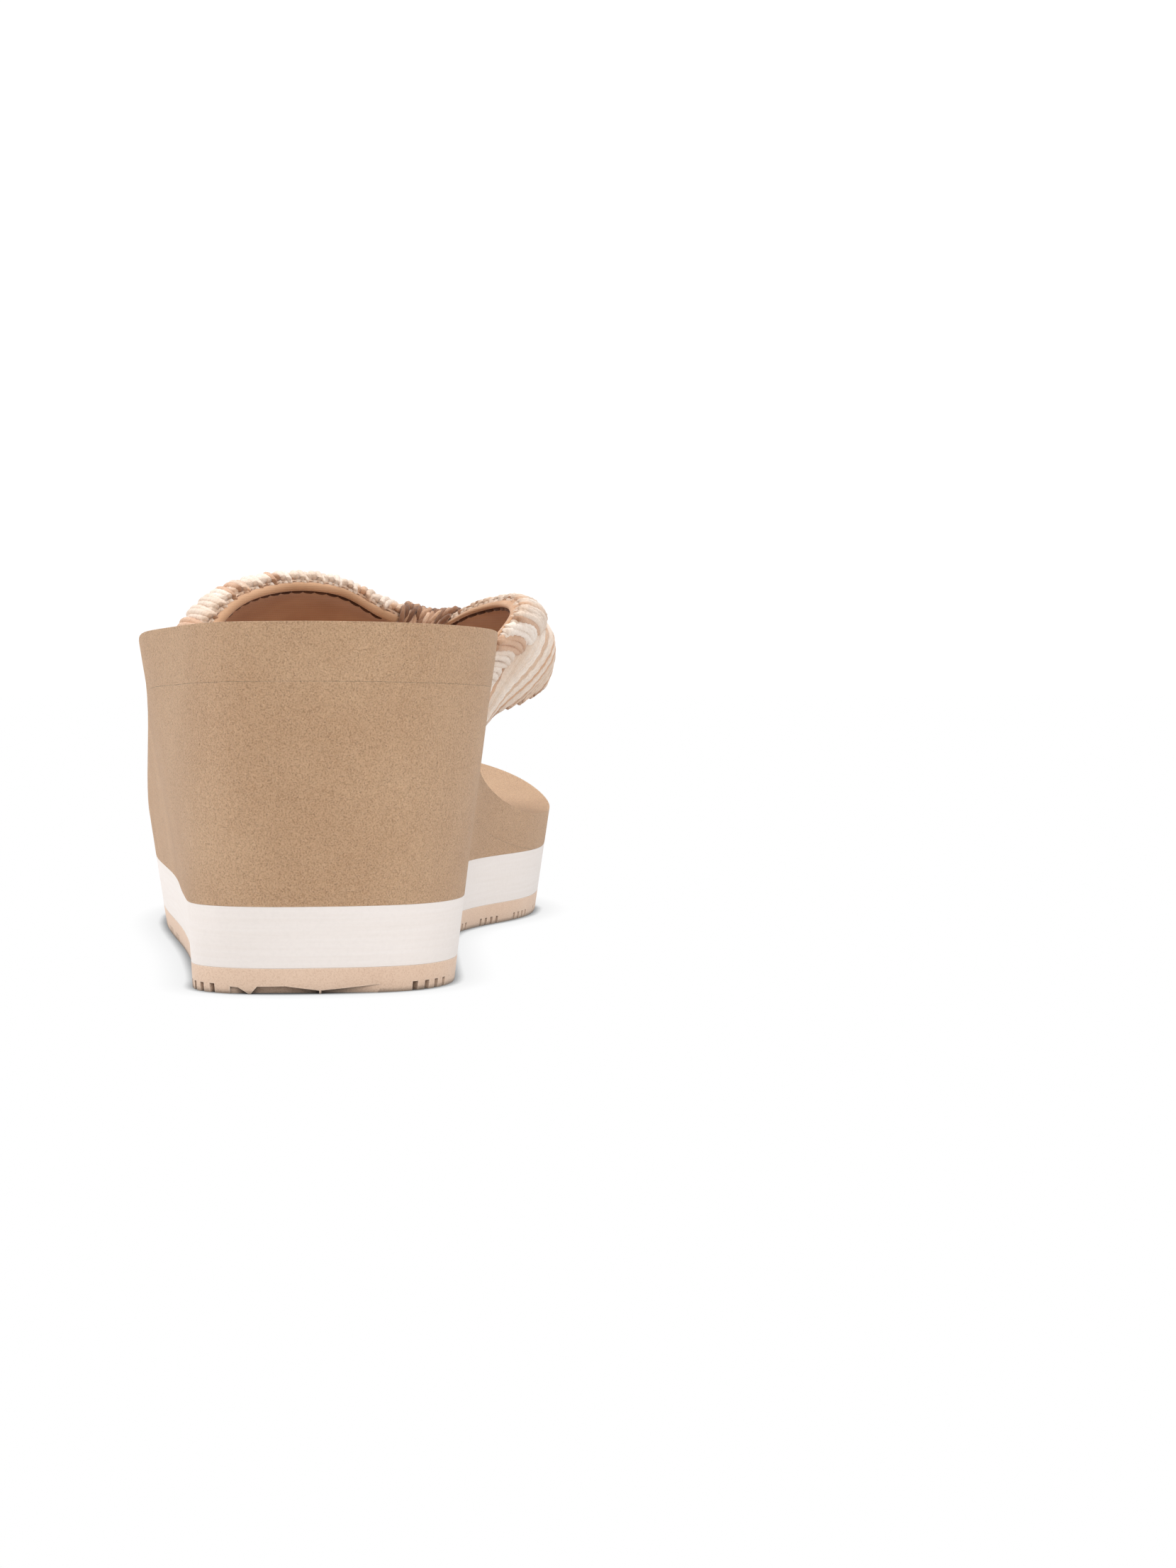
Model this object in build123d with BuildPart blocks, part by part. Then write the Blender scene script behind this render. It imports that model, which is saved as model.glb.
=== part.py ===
from build123d import *
import os
from math import asin, cos, degrees, sin, sqrt

# A left-foot wedge slide sandal: a four-layer foam and rubber sole under a wide padded strap.
# The strap's two halves are gathered in the middle and held by a narrow wrap.
# Millimetres. X points to the inner (medial) side, Y to the toe, Z up.
# Everything is drawn from the back of the heel, and each finished piece is moved so that
# the origin is the middle of the sandal's footprint, on the floor.

os.makedirs("parts", exist_ok=True)

# ---- Sole: driving dimensions ----
OUTSOLE_THICKNESS = 4.8
BAND_THICKNESS = 11.4
BAND_TOP = OUTSOLE_THICKNESS + BAND_THICKNESS
HEEL_HEIGHT = 68.0
PLATFORM_HEIGHT = 24.8
HEEL_SEAT_SLOPE = -0.05
FOOTBED_AT_HEEL = 10.7
FOOTBED_AT_BALL = 8.8
WEDGE_TIP_Y = 157.0
TOE_SPRING_START = 160.0
TOE_SPRING_RADIUS = 350.0
TOE_SPRING_ANGLE = 20.0
WALL_SLOPE = 0.15
BODY_TOP = 72.0
BACK_LIMIT = -20.0
HALF_SPAN = 60.0

# Middle of the whole sandal, from the back of the heel
CENTRE_X = 1.0
CENTRE_Y = 120.9

# Plan of the sole at the top of the midsole band, anticlockwise from the back of the heel
FOOTPRINT = [
    (-4.0, 0.4), (9.0, 2.2), (19.0, 7.0), (24.7, 15.5), (26.5, 32.0), (26.2, 60.0),
    (25.8, 92.0), (28.0, 119.0), (34.0, 135.7), (40.4, 148.5), (45.8, 166.0), (47.3, 186.0),
    (44.8, 208.0), (37.0, 228.0), (22.0, 242.0), (4.0, 246.0), (-13.5, 242.5), (-28.5, 230.5),
    (-39.2, 212.0), (-44.8, 189.0), (-46.0, 164.0), (-44.0, 140.0), (-39.2, 110.0),
    (-34.2, 81.0), (-29.6, 47.0), (-26.9, 22.0), (-23.6, 9.0), (-15.0, 1.8),
]
# The wall leans out by a different slope round the heel's corners: slope at each numbered
# footprint point, counted from 0
CORNER_SLOPES = {2: 0.13, 3: 0.13, 4: 0.13, 24: 0.16, 25: 0.13, 26: 0.07, 27: 0.13}

# Side view of the footbed's top, from behind the heel to the ball: (Y, Z)
FOOTBED_TOP = [
    (BACK_LIMIT, HEEL_HEIGHT + 0.6), (12.0, 66.9), (34.0, 65.2), (60.0, 58.5),
    (100.0, 43.4), (132.0, 30.4), (TOE_SPRING_START, PLATFORM_HEIGHT),
]

# ---- Tread: driving dimensions ----
GROOVE_DEPTH = 1.8
GROOVE_WIDTH = 2.4
GROOVE_PITCH = 16.0
GROOVE_WAVE = 6.0
SIPE_WIDTH = 1.2
SIPE_LENGTH = 7.0
SIPE_DEPTH = 1.7
SIPE_PITCH = 2.9
SIPES_IN_GROUP = 4
SIPE_GROUPS = 31
SIPE_GROUP_PITCH = 18.5
SIPE_FIRST = 22.0
# Stretches of the edge without notches: beside the waist (from Y, to Y), and behind the heel
# (from X, to X, up to Y)
PLAIN_SIDES = (30.0, 100.0)
PLAIN_BACK = (-16.0, 13.0, 12.0)
SCALLOP_DEPTH = 5.0
GROOVE_ROWS = 13
GROOVE_FIRST = 24.0
GROOVE_CORNER_PITCH = 18.0
GROOVE_CORNERS = 8
GROOVE_MARGIN = 7.0
# The walls lean, so carried down to this level they would stand in by the grooves' margin
GROOVE_LIMIT_LEVEL = -GROOVE_MARGIN / WALL_SLOPE
BELOW_FLOOR = -1.0

# Scalloped recesses in the back edge of the heel: outlines in side-to-side and upward distances
HEEL_RECESSES = [
    [(-12.8, -1.0), (-12.8, 0.1), (-11.7, 1.4), (-6.5, 1.5), (-0.4, 0.6), (-0.4, -1.0)],
    [(0.0, -1.0), (0.0, 0.6), (10.0, 1.5), (15.3, 1.5), (17.0, 0.1), (17.0, -1.0)],
    [(-16.7, -1.0), (-16.7, 1.3), (-15.2, 1.2), (-13.4, 0.1), (-13.4, -1.0)],
]
HEEL_NOTCH = (20.4, 0.4)
HEEL_NOTCH_RADIUS = 1.2

# ---- Strap: driving dimensions ----
# Depths are measured inwards from the strap's outer face
BRAID_DEPTH = (0.0, 2.2)
PADDING_DEPTH = (2.25, 3.25)
WEBBING_DEPTH = (3.3, 3.55)
LINING_DEPTH = (3.6, 4.2)
STRAP_THICKNESS = 4.2
BINDING_WIDTH = 1.8
BINDING_GAP = 0.1
BINDING_OVERHANG = 0.2
# How far a binding stands beyond the strap's edge, and the depths it covers
BINDING_REACH = BINDING_GAP + BINDING_WIDTH
BINDING_DEPTH = (-BINDING_OVERHANG, STRAP_THICKNESS + BINDING_OVERHANG)
WEBBING_INSET = 6.0
SLOT_CLEARANCE = 0.3
WRAP_THICKNESS = 2.2
WRAP_CLEARANCE = 0.4
CORE_GAP = 0.3
CORE_THICKNESS = 0.8
CORE_INSET = 8.0
STITCH_LENGTH = 2.6
STITCH_PITCH = 4.2
STITCH_RADIUS = 0.3
STITCH_INSET = 1.6
FIRST_STITCHED_STATION = 2

# The foot's own axis, which the strap bends round
FOOT_AXIS_X = 0.0
FOOT_AXIS_Z = 38.0

# Cross-sections of each strap half, from its pocket in the sole to the knot:
# (point on the back edge, point on the front edge, height of the crown between them)
LATERAL_STATIONS = [
    ((-35.5, 94.0, 31.6), (-39.5, 134.0, 17.6), 1.6),
    ((-36.6, 95.5, 46.0), (-41.4, 137.0, 30.0), 2.6),
    ((-35.4, 99.0, 58.0), (-42.6, 144.5, 42.0), 4.5),
    ((-31.4, 108.0, 68.8), (-41.6, 156.0, 52.0), 5.8),
    ((-25.0, 122.5, 77.3), (-35.5, 171.0, 59.5), 6.5),
    ((-14.5, 138.0, 81.3), (-24.0, 184.5, 64.0), 6.0),
    ((-2.5, 149.5, 81.0), (-10.5, 192.5, 65.0), 5.5),
    ((8.0, 157.0, 76.2), (3.5, 194.5, 62.6), 4.8),
    ((18.2, 162.0, 71.7), (15.2, 192.5, 59.8), 4.0),
]
MEDIAL_STATIONS = [
    ((22.5, 88.0, 34.0), (23.0, 126.0, 19.5), 0.8),
    ((25.0, 89.0, 50.0), (26.5, 128.0, 36.0), 1.6),
    ((32.8, 93.0, 63.0), (34.0, 134.5, 48.6), 3.6),
    ((39.6, 104.0, 71.7), (42.0, 147.0, 52.4), 4.4),
    ((40.8, 119.0, 75.1), (47.6, 162.0, 55.8), 4.5),
    ((38.2, 136.0, 76.7), (45.2, 177.5, 59.0), 4.6),
    ((31.0, 150.0, 75.4), (36.0, 189.0, 61.2), 5.0),
    ((24.8, 158.0, 72.6), (26.0, 192.5, 60.6), 4.2),
    ((18.8, 162.0, 71.7), (16.0, 192.5, 59.8), 4.0),
]
WRAP_STATIONS = [
    ((12.9, 160.4, 73.1), (9.8, 193.0, 61.0), 4.2),
    ((18.5, 162.0, 71.7), (15.6, 192.5, 59.8), 4.0),
    ((24.1, 159.4, 72.2), (21.4, 192.8, 60.4), 4.1),
]


def footprint_points(height):
    """Points of the sole's plan at a height, for walls that lean outwards as they rise."""
    points = []
    for index, corner in enumerate(FOOTPRINT):
        spread = CORNER_SLOPES.get(index, WALL_SLOPE) * (height - BAND_TOP)
        before = Vector(*FOOTPRINT[index - 1])
        after = Vector(*FOOTPRINT[(index + 1) % len(FOOTPRINT)])
        along = (after - before).normalized()
        points.append((corner[0] + along.Y * spread, corner[1] - along.X * spread))
    return points


def toe_lift(y):
    """How far the sole has risen off the floor at a distance along the sandal."""
    past = max(y - TOE_SPRING_START, 0.0)
    return TOE_SPRING_RADIUS - sqrt(TOE_SPRING_RADIUS**2 - past**2)


def footbed_thickness(y):
    """The footbed is thickest under the heel and thins evenly towards the ball."""
    share = min(max(y / WEDGE_TIP_Y, 0.0), 1.0)
    return FOOTBED_AT_HEEL + (FOOTBED_AT_BALL - FOOTBED_AT_HEEL) * share


def draw_level(height, start=BACK_LIMIT):
    """Side-view line that is flat under the foot and lifts at the toe. Returns its two ends."""
    flat = Line((start, height), (TOE_SPRING_START, height))
    lift = JernArc(flat @ 1, flat % 1, TOE_SPRING_RADIUS - height, TOE_SPRING_ANGLE)
    return flat @ 0, lift @ 1


def draw_footbed_top():
    """Side-view line of the surface the foot stands on. Returns its two ends."""
    ramp = Spline(*FOOTBED_TOP, tangents=[(1, HEEL_SEAT_SLOPE), (1, 0)])
    lift = JernArc(ramp @ 1, (1, 0), TOE_SPRING_RADIUS - PLATFORM_HEIGHT, TOE_SPRING_ANGLE)
    return ramp @ 0, lift @ 1


def draw_seam():
    """Side-view line between footbed and wedge. Returns its two ends."""
    points = [(y, z - footbed_thickness(y)) for y, z in FOOTBED_TOP[:-1]]
    seam = Spline(*points, (WEDGE_TIP_Y, BAND_TOP), tangents=[(1, HEEL_SEAT_SLOPE), (1, -0.1)])
    return seam @ 0, seam @ 1


def save(piece, name):
    """Move a finished piece to the sandal's own origin, name it and write its file."""
    placed = piece.part.moved(Location((-CENTRE_X, -CENTRE_Y, 0)))
    placed.label = name
    export_step(placed, f"parts/{name}.step")


# ---- Sole form: the outside shape that all four sole layers are cut from ----
with BuildPart() as sole_form:
    for level in (BELOW_FLOOR, BODY_TOP):
        with BuildSketch(Plane.XY.offset(level)):
            with BuildLine():
                Spline(*footprint_points(level), periodic=True)
            make_face()
    loft(ruled=True)


# ---- Outsole ----
def side_sipe_places():
    """Places round the edge of the tread, in groups of short notches that point inwards."""
    edge = Spline(*footprint_points(0.0), periodic=True)
    places = []
    for group in range(SIPE_GROUPS):
        for sipe in range(SIPES_IN_GROUP):
            travelled = SIPE_FIRST + group * SIPE_GROUP_PITCH + sipe * SIPE_PITCH
            spot = edge.position_at(travelled / edge.length)
            heading = edge.tangent_at(travelled / edge.length)
            turn = Vector(1, 0, 0).get_signed_angle(heading, Vector(0, 0, 1))
            beside_waist = PLAIN_SIDES[0] < spot.Y < PLAIN_SIDES[1]
            behind_heel = PLAIN_BACK[0] < spot.X < PLAIN_BACK[1] and spot.Y < PLAIN_BACK[2]
            if not beside_waist and not behind_heel:
                places.append(Location((spot.X, spot.Y, toe_lift(spot.Y)), (0, 0, turn)))
    return places


def groove_corners(groove_y):
    """Corners of one zigzag groove that runs across the sole."""
    return [
        (GROOVE_CORNER_PITCH * corner - HALF_SPAN, groove_y + GROOVE_WAVE * (corner % 2))
        for corner in range(GROOVE_CORNERS)
    ]


with BuildPart() as outsole:
    with BuildSketch(Plane.YZ):
        with BuildLine():
            floor_start, floor_end = draw_level(0.0)
            top_start, top_end = draw_level(OUTSOLE_THICKNESS)
            Line(floor_start, top_start)
            Line(floor_end, top_end)
        make_face()
    extrude(amount=HALF_SPAN, both=True)
    add(sole_form.part, mode=Mode.INTERSECT)
    # wavy grooves across the tread, each as deep as the others where the toe lifts
    for row in range(GROOVE_ROWS):
        groove_y = GROOVE_FIRST + GROOVE_PITCH * row
        with BuildSketch(Plane.XY.offset(BELOW_FLOOR)):
            with BuildLine():
                Polyline(groove_corners(groove_y))
            trace(line_width=GROOVE_WIDTH)
            with BuildLine():
                Polyline(*footprint_points(GROOVE_LIMIT_LEVEL)[::2], close=True)
            make_face(mode=Mode.INTERSECT)
        extrude(amount=GROOVE_DEPTH + toe_lift(groove_y) - BELOW_FLOOR, mode=Mode.SUBTRACT)
    # short notches along the edge
    with Locations(*side_sipe_places()):
        Box(SIPE_WIDTH, SIPE_LENGTH, 2 * SIPE_DEPTH, mode=Mode.SUBTRACT)
    # scalloped recesses in the back edge of the heel
    with BuildSketch(Plane.XZ.offset(-SCALLOP_DEPTH)):
        for outline in HEEL_RECESSES:
            with BuildLine():
                Polyline(*outline, close=True)
            make_face()
        with Locations(HEEL_NOTCH):
            Circle(HEEL_NOTCH_RADIUS)
    extrude(amount=SCALLOP_DEPTH - BACK_LIMIT, mode=Mode.SUBTRACT)
save(outsole, "outsole")


# ---- Midsole band ----
with BuildPart() as midsole_band:
    with BuildSketch(Plane.YZ):
        with BuildLine():
            low_start, low_end = draw_level(OUTSOLE_THICKNESS)
            high_start, high_end = draw_level(BAND_TOP)
            Line(low_start, high_start)
            Line(low_end, high_end)
        make_face()
    extrude(amount=HALF_SPAN, both=True)
    add(sole_form.part, mode=Mode.INTERSECT)
save(midsole_band, "midsole_band")


# ---- Strap geometry ----
def section_arc(station):
    """Outer arc of the strap at a station, from the back edge to the front edge over the crown.

    Returns a plane centred on the arc, whose X points out to the crown and whose Y points to the
    front edge, then the arc's radius and half of its angle in radians.
    """
    back, front, crown = Vector(*station[0]), Vector(*station[1]), station[2]
    chord = front - back
    along = chord.normalized()
    middle = (back + front) * 0.5
    away = middle - Vector(FOOT_AXIS_X, middle.Y, FOOT_AXIS_Z)
    outward = (away - along * away.dot(along)).normalized()
    radius = (chord.length**2 / 4 + crown**2) / (2 * crown)
    centre = middle - outward * (radius - crown)
    plane = Plane(origin=centre, x_dir=outward, z_dir=outward.cross(along))
    return plane, radius, asin(chord.length / 2 / radius)


def strap_section(station, depths, back_inset, front_inset):
    """Cross-section of one strap layer at a station: a slice of a ring between two depths.

    Insets are measured along the outer arc, in from each edge; a negative inset stands beyond
    the edge.
    """
    plane, radius, half_angle = section_arc(station)
    start = degrees(back_inset / radius - half_angle)
    sweep = degrees(half_angle - front_inset / radius) - start
    with BuildSketch(plane) as section:
        with BuildLine():
            outer = CenterArc((0, 0), radius - depths[0], start, sweep)
            inner = CenterArc((0, 0), radius - depths[1], start, sweep)
            Line(outer @ 0, inner @ 0)
            Line(outer @ 1, inner @ 1)
        make_face()
    return section.sketch


def strap_sections(stations, depths, back_inset=0.0, front_inset=0.0):
    """The same layer's cross-sections at every station."""
    return [strap_section(station, depths, back_inset, front_inset) for station in stations]


def edge_length(station):
    """Length of the strap's outer arc from its back edge to its front edge."""
    radius, half_angle = section_arc(station)[1:]
    return 2 * radius * half_angle


def binding_sections(stations, on_front_edge):
    """Cross-sections of the strip that caps the back edge or the front edge."""
    sections = []
    for station in stations:
        across = edge_length(station) + BINDING_GAP
        if on_front_edge:
            sections.append(strap_section(station, BINDING_DEPTH, across, -BINDING_REACH))
        else:
            sections.append(strap_section(station, BINDING_DEPTH, -BINDING_REACH, across))
    return sections


SLOT_DEPTH = (BINDING_DEPTH[0] - SLOT_CLEARANCE, BINDING_DEPTH[1] + SLOT_CLEARANCE)
SLOT_INSET = -BINDING_REACH - SLOT_CLEARANCE
HALVES = {"lateral": LATERAL_STATIONS, "medial": MEDIAL_STATIONS}

# Space that each strap half takes up, grown by the clearance, cut from footbed and wedge
strap_spaces = []
for stations in HALVES.values():
    with BuildPart() as strap_space:
        loft(strap_sections(stations, SLOT_DEPTH, SLOT_INSET, SLOT_INSET))
    strap_spaces.append(strap_space.part)


# ---- Wedge ----
with BuildPart() as wedge:
    with BuildSketch(Plane.YZ):
        with BuildLine():
            seam_start, seam_end = draw_seam()
            Line((BACK_LIMIT, BAND_TOP), seam_start)
            Line((BACK_LIMIT, BAND_TOP), seam_end)
        make_face()
    extrude(amount=HALF_SPAN, both=True)
    add(sole_form.part, mode=Mode.INTERSECT)
    add(strap_spaces, mode=Mode.SUBTRACT)
save(wedge, "wedge")


# ---- Footbed ----
with BuildPart() as footbed:
    with BuildSketch(Plane.YZ):
        with BuildLine():
            seam_start = draw_seam()[0]
            under_end = draw_level(BAND_TOP, WEDGE_TIP_Y)[1]
            tread_start, tread_end = draw_footbed_top()
            Line(seam_start, tread_start)
            Line(under_end, tread_end)
        make_face()
    extrude(amount=HALF_SPAN, both=True)
    add(sole_form.part, mode=Mode.INTERSECT)
    add(strap_spaces, mode=Mode.SUBTRACT)
save(footbed, "footbed")


# ---- Strap halves: four flat layers and two edge bindings each ----
for side, stations in HALVES.items():
    with BuildPart() as braid:
        loft(strap_sections(stations, BRAID_DEPTH))
    save(braid, f"{side}_braid")

    with BuildPart() as padding:
        loft(strap_sections(stations, PADDING_DEPTH))
    save(padding, f"{side}_padding")

    with BuildPart() as webbing:
        loft(strap_sections(stations, WEBBING_DEPTH, WEBBING_INSET, WEBBING_INSET))
    save(webbing, f"{side}_webbing")

    with BuildPart() as lining:
        loft(strap_sections(stations, LINING_DEPTH))
    save(lining, f"{side}_lining")

    with BuildPart() as back_binding:
        loft(binding_sections(stations, on_front_edge=False))
    save(back_binding, f"{side}_back_binding")

    with BuildPart() as front_binding:
        loft(binding_sections(stations, on_front_edge=True))
    save(front_binding, f"{side}_front_binding")


# ---- Knot: a tape that joins the two halves, and the wrap round both ----
CORE_DEPTH = (STRAP_THICKNESS + CORE_GAP, STRAP_THICKNESS + CORE_GAP + CORE_THICKNESS)
WRAP_BORE_DEPTH = (BINDING_DEPTH[0] - WRAP_CLEARANCE, CORE_DEPTH[1] + WRAP_CLEARANCE)
WRAP_BORE_INSET = -BINDING_REACH - WRAP_CLEARANCE
WRAP_OUTER_DEPTH = (WRAP_BORE_DEPTH[0] - WRAP_THICKNESS, WRAP_BORE_DEPTH[1] + WRAP_THICKNESS)
WRAP_OUTER_INSET = WRAP_BORE_INSET - WRAP_THICKNESS

with BuildPart() as knot_core:
    loft(strap_sections(WRAP_STATIONS, CORE_DEPTH, CORE_INSET, CORE_INSET))
save(knot_core, "knot_core")

with BuildPart() as knot_wrap:
    loft(strap_sections(WRAP_STATIONS, WRAP_OUTER_DEPTH, WRAP_OUTER_INSET, WRAP_OUTER_INSET))
    bore = strap_sections(WRAP_STATIONS, WRAP_BORE_DEPTH, WRAP_BORE_INSET, WRAP_BORE_INSET)
    loft(bore, mode=Mode.SUBTRACT)
save(knot_wrap, "knot_wrap")


# ---- Stitching: one row of thread along each binding, on the lining side ----
def section_point(station, depth, back_inset):
    """A point of a cross-section, at a depth and a distance in from the back edge."""
    plane, radius, half_angle = section_arc(station)
    angle = back_inset / radius - half_angle
    reach = radius - depth
    return plane.from_local_coords(Vector(reach * cos(angle), reach * sin(angle), 0))


for side, stations in HALVES.items():
    with BuildPart() as stitching:
        for from_front in (False, True):
            free_stations = stations[FIRST_STITCHED_STATION:-1]
            row_points = []
            for station in free_stations:
                inset = edge_length(station) - STITCH_INSET if from_front else STITCH_INSET
                row_points.append(section_point(station, STRAP_THICKNESS + 2 * STITCH_RADIUS, inset))
            row = Spline(*row_points)
            for number in range(int(row.length / STITCH_PITCH)):
                travelled = (number + 0.5) * STITCH_PITCH / row.length
                heading = Plane(origin=row.position_at(travelled), z_dir=row.tangent_at(travelled))
                with Locations(heading):
                    Cylinder(STITCH_RADIUS, STITCH_LENGTH)
    save(stitching, f"{side}_stitching")
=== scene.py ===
import math

import bpy
import numpy as np
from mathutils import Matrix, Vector


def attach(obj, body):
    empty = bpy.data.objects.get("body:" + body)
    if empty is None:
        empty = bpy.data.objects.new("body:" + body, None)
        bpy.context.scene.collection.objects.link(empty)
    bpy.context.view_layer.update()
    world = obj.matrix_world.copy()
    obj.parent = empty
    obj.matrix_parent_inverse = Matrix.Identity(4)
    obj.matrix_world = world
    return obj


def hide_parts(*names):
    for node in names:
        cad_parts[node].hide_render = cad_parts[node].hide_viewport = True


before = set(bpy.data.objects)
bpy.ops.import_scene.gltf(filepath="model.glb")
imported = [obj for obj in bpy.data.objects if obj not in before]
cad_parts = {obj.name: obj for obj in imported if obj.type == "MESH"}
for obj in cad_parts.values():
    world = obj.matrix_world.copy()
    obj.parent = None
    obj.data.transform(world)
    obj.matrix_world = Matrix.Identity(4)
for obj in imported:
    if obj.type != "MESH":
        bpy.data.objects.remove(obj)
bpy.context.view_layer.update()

# The looks of the wedge sandal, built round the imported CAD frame. The strap's shapes are worked out
# in millimetres from the back of the heel, as the CAD part is drawn, and moved to the frame in metres.

CENTRE_X = 1.0
CENTRE_Y = 120.9
RANDOM = np.random.default_rng(7)

# ---- Strap: the CAD part's cross-sections ----
# (point on the back edge, point on the front edge, height of the crown between them). The halves run
# from their pockets in the sole to the knot, and the wrap runs across the knot.
STATIONS = {
    "lateral": [
        ((-35.5, 94.0, 31.6), (-39.5, 134.0, 17.6), 1.6),
        ((-36.6, 95.5, 46.0), (-41.4, 137.0, 30.0), 2.6),
        ((-35.4, 99.0, 58.0), (-42.6, 144.5, 42.0), 4.5),
        ((-31.4, 108.0, 68.8), (-41.6, 156.0, 52.0), 5.8),
        ((-25.0, 122.5, 77.3), (-35.5, 171.0, 59.5), 6.5),
        ((-14.5, 138.0, 81.3), (-24.0, 184.5, 64.0), 6.0),
        ((-2.5, 149.5, 81.0), (-10.5, 192.5, 65.0), 5.5),
        ((8.0, 157.0, 76.2), (3.5, 194.5, 62.6), 4.8),
        ((18.2, 162.0, 71.7), (15.2, 192.5, 59.8), 4.0),
    ],
    "medial": [
        ((22.5, 88.0, 34.0), (23.0, 126.0, 19.5), 0.8),
        ((25.0, 89.0, 50.0), (26.5, 128.0, 36.0), 1.6),
        ((32.8, 93.0, 63.0), (34.0, 134.5, 48.6), 3.6),
        ((39.6, 104.0, 71.7), (42.0, 147.0, 52.4), 4.4),
        ((40.8, 119.0, 75.1), (47.6, 162.0, 55.8), 4.5),
        ((38.2, 136.0, 76.7), (45.2, 177.5, 59.0), 4.6),
        ((31.0, 150.0, 75.4), (36.0, 189.0, 61.2), 5.0),
        ((24.8, 158.0, 72.6), (26.0, 192.5, 60.6), 4.2),
        ((18.8, 162.0, 71.7), (16.0, 192.5, 59.8), 4.0),
    ],
    "wrap": [
        ((12.9, 160.4, 73.1), (9.8, 193.0, 61.0), 4.2),
        ((18.5, 162.0, 71.7), (15.6, 192.5, 59.8), 4.0),
        ((24.1, 159.4, 72.2), (21.4, 192.8, 60.4), 4.1),
    ],
}
FOOT_AXIS_X = 0.0
FOOT_AXIS_Z = 38.0
STRETCH_LIMITS = (0.5, 1.8)
HALVES = ("lateral", "medial")


def to_frame(points):
    """Points in millimetres from the back of the heel, moved to the frame in metres."""
    return (np.asarray(points, float) - (CENTRE_X, CENTRE_Y, 0.0)) / 1000.0


def between_stations(values, t):
    """A smooth curve through one value per station, read at positions t."""
    values = np.asarray(values, float)
    low = np.clip(t.astype(int), 0, len(values) - 2)
    x = (t - low)[:, None]
    here = values[low]
    there = values[low + 1]
    before = np.where(low[:, None] > 0, values[np.maximum(low - 1, 0)], 2 * here - there)
    last = len(values) - 1
    after = np.where(low[:, None] + 2 <= last, values[np.minimum(low + 2, last)], 2 * there - here)
    rise_here = (there - before) / 2
    rise_there = (after - here) / 2
    return (
        here * (2 * x**3 - 3 * x**2 + 1)
        + rise_here * (x**3 - 2 * x**2 + x)
        + there * (3 * x**2 - 2 * x**3)
        + rise_there * (x**3 - x**2)
    )


def strap_arc(half, t):
    """Centre, radius, outward and along directions, and half angle of the strap's outer arc."""
    stations = STATIONS[half]
    back = between_stations([station[0] for station in stations], t)
    front = between_stations([station[1] for station in stations], t)
    crown = between_stations([[station[2]] for station in stations], t)
    chord = np.linalg.norm(front - back, axis=1, keepdims=True)
    along = (front - back) / chord
    middle = (back + front) / 2
    away = middle - np.c_[np.full(len(t), FOOT_AXIS_X), middle[:, 1], np.full(len(t), FOOT_AXIS_Z)]
    outward = away - along * (away * along).sum(1, keepdims=True)
    outward /= np.linalg.norm(outward, axis=1, keepdims=True)
    radius = (chord**2 / 4 + crown**2) / (2 * crown)
    half_angle = np.arcsin(chord / 2 / radius)
    return middle - outward * (radius - crown), radius, outward, along, half_angle


def strap_width(half, t):
    """Length of the outer arc from the back edge to the front edge, in millimetres."""
    radius, half_angle = [strap_arc(half, np.atleast_1d(t))[i] for i in (1, 4)]
    return (2 * radius * half_angle)[:, 0]


def strap_points(half, t, across, depth):
    """Points at millimetres across from the back edge and millimetres in from the outer face."""
    t, across, depth = (v.ravel().astype(float) for v in np.broadcast_arrays(t, across, depth))
    centre, radius, outward, along, half_angle = strap_arc(half, t)
    angle = across[:, None] / radius - half_angle
    return centre + (radius - depth[:, None]) * (np.cos(angle) * outward + np.sin(angle) * along)


class StrapLine:
    """Turns millimetres travelled along the middle of a strap half into station positions."""

    def __init__(self, half, samples=200):
        self.half = half
        self.t = np.linspace(0, len(STATIONS[half]) - 1, samples)
        middle = strap_points(half, self.t, strap_width(half, self.t) / 2, 0.0)
        steps = np.linalg.norm(np.diff(middle, axis=0), axis=1)
        self.travelled = np.concatenate([[0.0], np.cumsum(steps)])
        self.length = self.travelled[-1]

    def position(self, travelled):
        return np.interp(travelled, self.travelled, self.t)

    def stretch(self, t, across, step=0.05):
        """How much longer the strap is here than along its middle line, softened."""
        here = strap_points(self.half, t, across, 0.0)
        beyond = strap_points(self.half, t + step, across, 0.0)
        middle = np.interp(t + step, self.t, self.travelled) - np.interp(t, self.t, self.travelled)
        local = np.linalg.norm(beyond - here, axis=1) / np.maximum(middle, 1e-6)
        return np.sqrt(np.clip(local, *STRETCH_LIMITS))


# ---- Mesh helpers ----
PLY_RELIEF = 0.10
EDGE_BEND_POINTS = 7


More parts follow.
